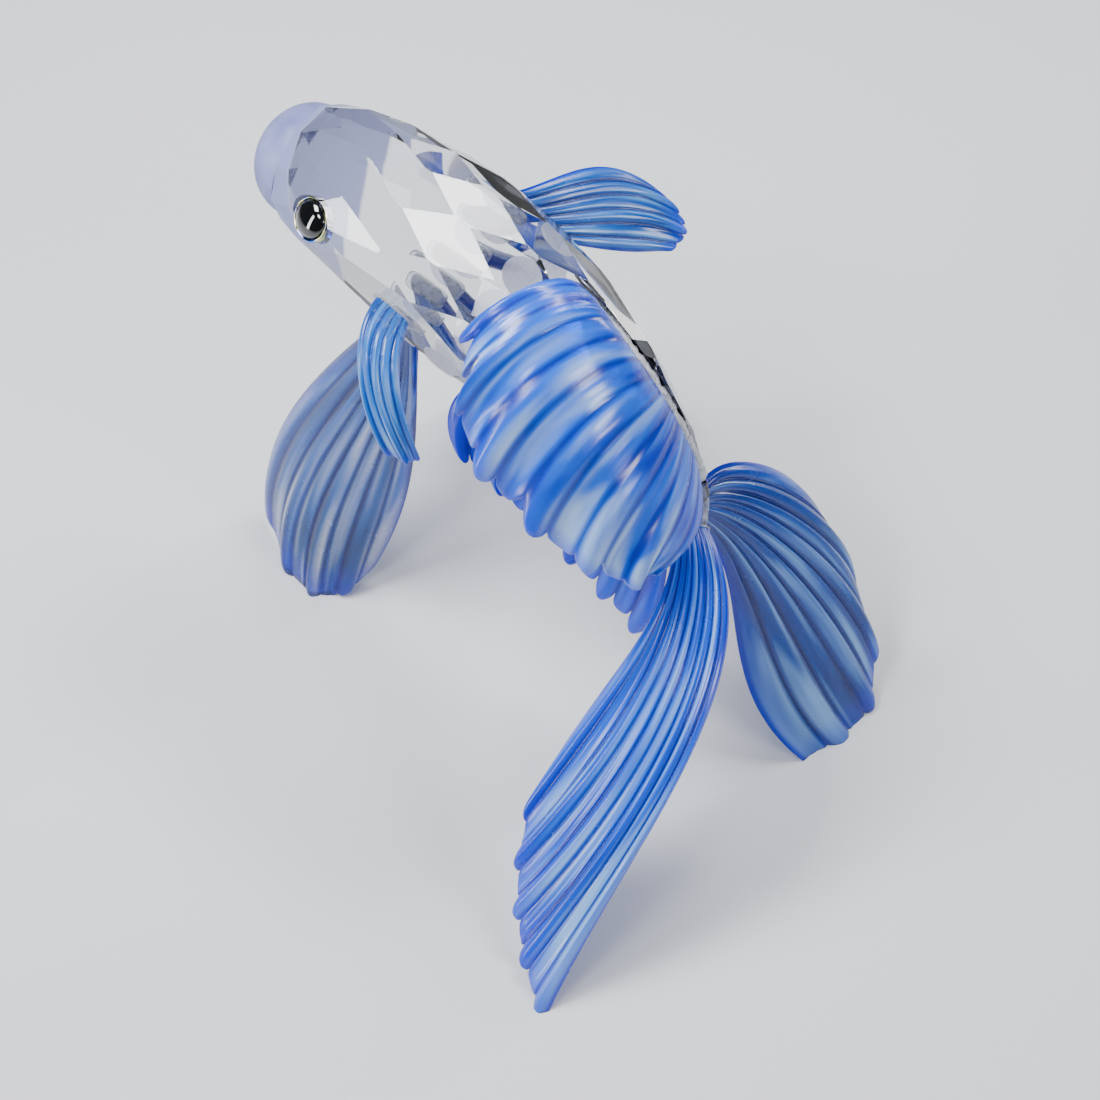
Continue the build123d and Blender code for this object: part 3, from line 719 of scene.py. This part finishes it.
def satin_blue(name, ribs, deep, mid, pale, clear, density, groove=0.45, edge="#0A34E4"):
    """Pressed blue glass, acid-satin: milky streaks along the ribs, deep blue at the rim, and painted
    shade in the valleys between the ribs, so the crests read pale as a painted highlight.
    """
    material, tree = blank_material(name)

    def step(operation, first, second=0.0):
        return add(tree, "ShaderNodeMath", {"operation": operation},
                   {0: first, 1: second}).outputs[0]

    def read(attribute):
        return add(tree, "ShaderNodeAttribute", {"attribute_name": attribute}).outputs["Fac"]

    lane = step("MULTIPLY", read("across"), float(ribs))
    place = add(tree, "ShaderNodeCombineXYZ", None,
                {"X": lane, "Y": step("MULTIPLY", read("reach"), 1.5)})
    streak = add(tree, "ShaderNodeTexNoise", None,
                 {"Vector": place.outputs[0], "Scale": 1.15, "Detail": 1.6, "Roughness": 0.5,
                  "Distortion": 0.35})
    crest = step("ABSOLUTE", step("SINE", step("MULTIPLY", lane, math.pi)))
    # Painted shade: the tone is lowered in the valleys between the ribs, so the crests stay pale as a
    # painted highlight.
    valley_shade_drop = add(tree, "ShaderNodeMapRange", None,
                 {"Value": crest, "From Min": 0.0, "From Max": 0.6, "To Min": 0.24, "To Max": 0.0})
    body_glow = add(tree, "ShaderNodeMapRange", None,
                    {"Value": read("reach"), "From Min": 0.0, "From Max": 0.65,
                     "To Min": -0.10, "To Max": 0.05})
    level = step("SUBTRACT", step("ADD", streak.outputs[0], body_glow.outputs[0]), valley_shade_drop.outputs[0])
    tone = add(tree, "ShaderNodeValToRGB", None, {"Fac": level})
    tone.color_ramp.elements[0].position = 0.28
    tone.color_ramp.elements[0].color = linear(deep)
    tone.color_ramp.elements[1].position = 0.72
    tone.color_ramp.elements[1].color = linear(pale)
    middle = tone.color_ramp.elements.new(0.50)
    middle.color = linear(mid)
    rim = add(tree, "ShaderNodeMapRange", None,
              {"Value": step("ABSOLUTE", read("side")), "From Min": 0.25, "From Max": 0.9,
               "To Min": 0.85, "To Max": 0.0})
    # Painted shade: the valleys between the ribs are mixed towards dark blue, as strongly as the groove
    # argument asks.
    valley_painted_shade = add(tree, "ShaderNodeMapRange", None,
                 {"Value": crest, "From Min": 0.08, "From Max": 0.5, "To Min": groove, "To Max": 0.0})
    valley_shaded_tone = add(tree, "ShaderNodeMix", {"data_type": "RGBA"},
                   {0: valley_painted_shade.outputs[0], 6: tone.outputs[0], 7: linear("#052A7C")})
    tip = add(tree, "ShaderNodeMapRange", None,
              {"Value": read("reach"), "From Min": 0.88, "From Max": 0.99, "To Min": 0.0, "To Max": 0.7})
    shade = add(tree, "ShaderNodeMix", {"data_type": "RGBA"},
                {0: step("MAXIMUM", rim.outputs[0], tip.outputs[0]), 6: valley_shaded_tone.outputs[2],
                 7: linear(edge)})
    spot = add(tree, "ShaderNodeTexCoord")
    grain = add(tree, "ShaderNodeTexNoise", None,
                {"Vector": spot.outputs["Object"], "Scale": 350.0, "Detail": 2.0})
    rough = add(tree, "ShaderNodeMapRange", None,
                {"Value": grain.outputs[0], "To Min": 0.17, "To Max": 0.32})
    see = add(tree, "ShaderNodeMapRange", None,
              {"Value": level, "From Min": 0.3, "From Max": 0.75,
               "To Min": clear[0], "To Max": clear[1]})
    glass = add(tree, "ShaderNodeBsdfPrincipled", None,
                {"Base Color": shade.outputs[2], "Roughness": rough.outputs[0], "IOR": 1.52,
                 "Transmission Weight": see.outputs[0]})
    soak = add(tree, "ShaderNodeVolumeAbsorption", None,
               {"Color": linear("#3A86FF"), "Density": density})
    add(tree, "ShaderNodeOutputMaterial", None,
        {"Surface": glass.outputs[0], "Volume": soak.outputs[0]})
    return material


# The two lobes are one glass in two copies: the near lobe's is the lit copy, and the far lobe's is
# painted darker as painted shade.
near_tail_glass = satin_blue("satin_blue_glass_near_tail", 9, "#0232C4", "#0E64E8", "#8CC0FA",
                             (0.55, 0.28), 420.0, groove=0.6)
far_tail_glass_painted_shade = satin_blue("satin_blue_glass_far_tail_painted_shade", 9, "#022C80", "#0C50A8", "#86B8EE",
                            (0.6, 0.4), 420.0, groove=0.8)
press_fin("left_tail_lobe_ribbed", "left_tail_lobe", seat_root("left_tail_lobe"), [
    [(16.0, -12.5, 34.0), (14.5, -23.0, 25.0), (12.5, -35.0, 13.0)],
    [(22.5, -15.5, 33.0), (23.5, -31.0, 21.5), (18.0, -46.0, 5.0)],
    [(28.0, -15.5, 31.0), (29.5, -35.0, 17.0), (28.5, -54.5, -1.6)],
], 9, (1.1, 0.8), 0.55, 0.014, near_tail_glass, seat="left_tail_lobe", stands=True)
press_fin("right_tail_lobe_ribbed", "right_tail_lobe", seat_root("right_tail_lobe"), [
    [(12.5, 11.5, 37.0), (17.0, 18.5, 29.0), (21.0, 19.0, 20.5)],
    [(19.5, 9.0, 28.0), (28.5, 13.0, 15.0), (36.0, 13.5, 2.0)],
    [(19.5, 0.5, 24.0), (25.0, -2.5, 11.5), (35.5, -1.5, -0.9)],
], 9, (1.1, 0.7), 0.5, 0.025, far_tail_glass_painted_shade, seat="right_tail_lobe", stands=True, depth=0.65)

# ---------------------------------------------------------------------------
# Dorsal fin: one pressed blade bonded along the groove of the back, its free edge
# waved like a curtain and beaded where the first ribs end.
# ---------------------------------------------------------------------------
DORSAL_START = 42.5
DORSAL_END = 71.5
GROOVE_SINK = 0.5
GROOVE_MARGIN = 0.05
places = [DORSAL_START, (DORSAL_START + DORSAL_END) / 2, DORSAL_END]
arc = [skin(s, 0) - axis_frame(s)[2] * GROOVE_SINK for s in places]


def circle_through(a, b, c):
    """Centre and radius of the circle through three points of the middle plane."""
    d = 2 * (a.x * (b.z - c.z) + b.x * (c.z - a.z) + c.x * (a.z - b.z))
    aa, bb, cc = (p.x**2 + p.z**2 for p in (a, b, c))
    x = (aa * (b.z - c.z) + bb * (c.z - a.z) + cc * (a.z - b.z)) / d
    z = (aa * (c.x - b.x) + bb * (a.x - c.x) + cc * (b.x - a.x)) / d
    centre = Vector((x, 0, z))
    return centre, (a - centre).length


groove_centre, groove_radius = circle_through(*arc)
angle_a = math.atan2(arc[0].z - groove_centre.z, arc[0].x - groove_centre.x)
angle_c = math.atan2(arc[2].z - groove_centre.z, arc[2].x - groove_centre.x)


def dorsal_root(v, lift=BOND):
    """The curved root of the dorsal fin on the groove floor."""
    turn = angle_a + (angle_c - angle_a) * (GROOVE_MARGIN + 0.9 * v)
    ray = np.stack([np.cos(turn), np.zeros_like(turn), np.sin(turn)], axis=-1)
    return np.array(groove_centre) + ray * (groove_radius + lift)


dorsal_glass = satin_blue("satin_blue_glass_dorsal", 13, "#0238D0", "#1C70F0", "#A8CEFA",
                          (0.5, 0.25), 420.0, groove=0.45)
press_fin("dorsal_fin_ribbed", "dorsal_fin", dorsal_root, [
    [(-7.5, -1.0, 72.0), (-10.0, -6.5, 73.0), (-12.5, -11.0, 68.5)],
    [(0.6, -5.6, 68.6), (-2.7, -14.1, 66.4), (-5.4, -21.4, 57.3)],
    [(10.8, -8.1, 55.7), (10.6, -15.0, 51.8), (10.4, -19.3, 45.9)],
    [(16.5, -4.0, 43.0), (16.0, -8.0, 42.5), (13.5, -10.5, 41.3)],
], 13, (0.8, 0.6), 1.15, 0.05, dorsal_glass, depth=0.12, roundness=0.8,
          nicks=[(0.077, 0.02, 0.10), (0.17, 0.03, 0.17), (0.46, 0.02, 0.05), (0.69, 0.02, 0.06),
                 (0.85, 0.02, 0.05)])

# ---------------------------------------------------------------------------
# Anal fin: a short pressed blade of the same glass under the tail stem.
# ---------------------------------------------------------------------------
anal_glass = satin_blue("satin_blue_glass_anal", 11, "#001CB8", "#0036D0", "#1A60E6",
                        (0.5, 0.35), 700.0, groove=0.5)
press_fin("anal_fin_ribbed", "anal_fin", seat_root("anal_fin"), [
    [(-20.5, -2.5, 44.0), (-22.5, -5.0, 39.5), (-20.0, -7.5, 34.0)],
    [(-5.0, -1.0, 37.5), (-4.5, -4.0, 31.5), (-4.5, -7.0, 25.5)],
    [(10.0, -1.0, 31.5), (11.5, -4.0, 22.5), (9.5, -6.0, 14.0)],
], 11, (0.8, 0.65), 0.6, 0.10, anal_glass, seat="anal_fin")

# ---------------------------------------------------------------------------
# Pelvic fins: two long pressed blades of clearer glass under the chest. The fish
# stands on their ground tips.
# ---------------------------------------------------------------------------
# The near-white pale tone stands partly for painted highlights on the rib crests.
pelvic_glass = satin_blue("satin_clear_blue_glass", 8, "#0C3468", "#2E6EB4", "#D8DEE4",
                          (0.9, 0.6), 300.0, groove=0.8)
press_fin("left_pelvic_fin_ribbed", "left_pelvic_fin", seat_root("left_pelvic_fin"), [
    [(-37.5, -7.0, 43.5), (-48.0, -9.0, 23.0), (-51.5, -11.5, 2.0)],
    [(-32.5, -9.5, 36.0), (-38.0, -14.0, 17.0), (-38.5, -19.5, -0.9)],
    [(-26.5, -7.5, 34.0), (-28.5, -8.5, 17.0), (-32.0, -12.5, 2.0)],
], 8, (1.0, 0.7), 0.45, 0.015, pelvic_glass, seat="left_pelvic_fin", stands=True)
press_fin("right_pelvic_fin_ribbed", "right_pelvic_fin", seat_root("right_pelvic_fin"), [
    [(-33.0, 12.0, 38.0), (-38.0, 19.0, 18.0), (-38.5, 25.0, 1.0)],
    [(-27.5, 14.5, 37.0), (-28.0, 23.5, 18.0), (-27.0, 30.5, -0.9)],
    [(-21.0, 16.5, 38.0), (-18.5, 27.5, 24.0), (-17.5, 34.5, 12.0)],
], 8, (1.0, 0.7), 0.45, 0.015, pelvic_glass, seat="right_pelvic_fin", stands=True)

# ---------------------------------------------------------------------------
# Pectoral fins: two small pressed blades bonded to the shoulders.
# ---------------------------------------------------------------------------
# The two pectorals are one glass in two copies: the right one, on the far side, is painted darker as
# painted shade, and the left one is the lit copy.
left_pectoral_glass = satin_blue("satin_blue_glass_left_pectoral", 5, "#1064CC", "#3692EC", "#B0D8FC",
                                 (0.6, 0.4), 260.0, groove=0.5)
right_pectoral_glass_painted_shade = satin_blue("satin_blue_glass_right_pectoral_painted_shade", 6, "#003C90", "#0C5CB4",
                                  "#5CA0E0", (0.5, 0.35), 420.0, groove=0.7)
press_fin("left_pectoral_fin_ribbed", "left_pectoral_fin", seat_root("left_pectoral_fin"), [
    [(-27.5, -16.0, 61.0), (-24.0, -20.5, 56.0), (-20.0, -21.5, 50.0)],
    [(-24.0, -17.5, 61.0), (-20.5, -20.5, 55.5), (-17.0, -21.0, 49.0)],
    [(-21.5, -16.0, 59.5), (-19.0, -18.5, 55.0), (-16.5, -19.5, 48.5)],
], 5, (0.9, 0.6), 0.25, 0.02, left_pectoral_glass, seat="left_pectoral_fin", flow=0.2)
press_fin("right_pectoral_fin_ribbed", "right_pectoral_fin", seat_root("right_pectoral_fin"), [
    [(-23.0, 16.5, 64.0), (-19.5, 23.5, 63.0), (-13.0, 28.0, 59.0)],
    [(-19.5, 15.5, 61.0), (-14.5, 22.5, 59.0), (-7.5, 27.5, 55.5)],
    [(-16.5, 14.5, 58.0), (-12.0, 19.5, 55.0), (-8.5, 24.5, 53.0)],
], 6, (0.9, 0.6), 0.3, 0.02, right_pectoral_glass_painted_shade, seat="right_pectoral_fin", flow=0.2)

# ---------------------------------------------------------------------------
# Adhesive: a clear film cured under every bonded piece, milky where it shows.
# ---------------------------------------------------------------------------
cured, tree = blank_material("uv_cured_adhesive")
spot = add(tree, "ShaderNodeTexCoord")
cloud = add(tree, "ShaderNodeTexNoise", None,
            {"Vector": spot.outputs["Object"], "Scale": 500.0, "Detail": 2.0})
tone = add(tree, "ShaderNodeValToRGB", None, {"Fac": cloud.outputs[0]})
tone.color_ramp.elements[0].position = 0.35
tone.color_ramp.elements[0].color = linear("#E6ECF6")
tone.color_ramp.elements[1].position = 0.65
tone.color_ramp.elements[1].color = linear("#F6F8FC")
rough = add(tree, "ShaderNodeMapRange", None,
            {"Value": cloud.outputs[0], "To Min": 0.2, "To Max": 0.35})
resin = add(tree, "ShaderNodeBsdfPrincipled", None,
            {"Base Color": tone.outputs[0], "Roughness": rough.outputs[0], "IOR": 1.5,
             "Transmission Weight": 0.8})
add(tree, "ShaderNodeOutputMaterial", None, {"Surface": resin.outputs[0]})
dress("mouth_bond", cured)
FILM_GAP = 0.02
SQUEEZE = 0.30
FILM_RINGS = [(1.0, FILM_GAP), (1.06, 0.10), (1.02, 0.26), (0.94, 0.34), (0.86, 0.30), (0.80, 0.13)]
FILM_STEPS = 72


def finish_film(thing, node):
    """Turns the faces outwards and lets a film stand for its CAD node."""
    tidy = bmesh.new()
    tidy.from_mesh(thing.data)
    bmesh.ops.recalc_face_normals(tidy, faces=tidy.faces[:])
    if tidy.calc_volume(signed=True) < 0:
        bmesh.ops.reverse_faces(tidy, faces=tidy.faces[:])
    tidy.to_mesh(thing.data)
    tidy.free()
    thing.data.materials.append(cured)
    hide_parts(node)
    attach(thing, "root")


def seat_film(name, half_root):
    """A film with a squeezed-out fillet round the root of a seated fin."""
    origin, normal, length, along = seats[name]
    sideways = normal.cross(along).normalized()
    steps = FILM_STEPS
    vertices, faces = [], []
    seed = sum(ord(c) for c in name)
    for scale, height in FILM_RINGS:
        for k in range(steps):
            a = 2 * math.pi * k / steps
            wobble = 0.08 * math.sin(2 * a + seed) + 0.03 * math.sin(5 * a + 2 * seed)
            lift = height if height < 0.12 else height * (1 + wobble)
            reach_long = (length / 2 + SQUEEZE + wobble) * scale
            reach_side = (half_root + SQUEEZE + wobble) * scale
            corner = abs(math.cos(a)) ** 4 + abs(math.sin(a)) ** 4
            x = reach_long * math.cos(a) / corner ** 0.25
            y = reach_side * math.sin(a) / corner ** 0.25
            vertices.append((origin + along * x + sideways * y + normal * lift + SHIFT) * MM)
    for low in range(len(FILM_RINGS) - 1):
        for k in range(steps):
            n = (k + 1) % steps
            faces.append((low * steps + k, low * steps + n, (low + 1) * steps + n,
                          (low + 1) * steps + k))
    faces.append(tuple(range(steps)))
    faces.append(tuple(range((len(FILM_RINGS) - 1) * steps, len(FILM_RINGS) * steps)))
    finish_film(mesh_object(name + "_adhesive", vertices, faces), name + "_bond")


seat_film("left_tail_lobe", 1.1)
seat_film("right_tail_lobe", 1.1)
seat_film("left_pelvic_fin", 1.0)
seat_film("right_pelvic_fin", 1.0)
seat_film("left_pectoral_fin", 0.9)
seat_film("right_pectoral_fin", 0.9)
seat_film("anal_fin", 0.8)

# Along the back the film is a ragged strip with a bead on both sides of the blade.
STRIP_LANES = [-1.9, -1.6, -1.3, -1.05, -0.8, -0.4, 0.4, 0.8, 1.05, 1.3, 1.6, 1.9]
STRIP_CROWN = [0.05, 0.10, 0.22, 0.34, 0.30, 0.13, 0.13, 0.30, 0.34, 0.22, 0.10, 0.05]
STRIP_STATIONS = 181
STRIP_FOOT = 1.6
WIDEST_SPREAD = 1.12
strip_v, strip_f = [], []
chips = np.random.default_rng(7)
ragged = np.convolve(chips.normal(0, 1, STRIP_STATIONS + 8), np.ones(4) / 4, "same")[4:-4]
ragged_two = np.convolve(chips.normal(0, 1, STRIP_STATIONS + 8), np.ones(5) / 5, "same")[4:-4]
for i in range(STRIP_STATIONS):
    turn = angle_a + (angle_c - angle_a) * (0.02 + 0.96 * i / (STRIP_STATIONS - 1))
    ray = Vector((math.cos(turn), 0, math.sin(turn)))
    floor_point = groove_centre + ray * (groove_radius + FILM_GAP)
    for y, h in zip(STRIP_LANES, STRIP_CROWN):
        spread = 1 + 0.14 * (ragged[i] if y > 0 else ragged_two[i])
        swell = h * (1 + 0.5 * (ragged_two[i] if y > 0 else ragged[i])) if h > 0.2 else h
        sideways = Vector((0, y * min(spread, WIDEST_SPREAD), 0))
        strip_v.append((floor_point + ray * swell + sideways + SHIFT) * MM)
    for y in (STRIP_FOOT, -STRIP_FOOT):
        strip_v.append((floor_point + Vector((0, y, 0)) + SHIFT) * MM)
ring_size = len(STRIP_LANES) + 2
for i in range(STRIP_STATIONS - 1):
    for j in range(ring_size):
        n = (j + 1) % ring_size
        strip_f.append((i * ring_size + j, i * ring_size + n, (i + 1) * ring_size + n,
                        (i + 1) * ring_size + j))
strip_f.append(tuple(range(ring_size)))
strip_f.append(tuple(range((STRIP_STATIONS - 1) * ring_size, STRIP_STATIONS * ring_size)))
finish_film(mesh_object("dorsal_fin_adhesive", strip_v, strip_f), "dorsal_fin_bond")
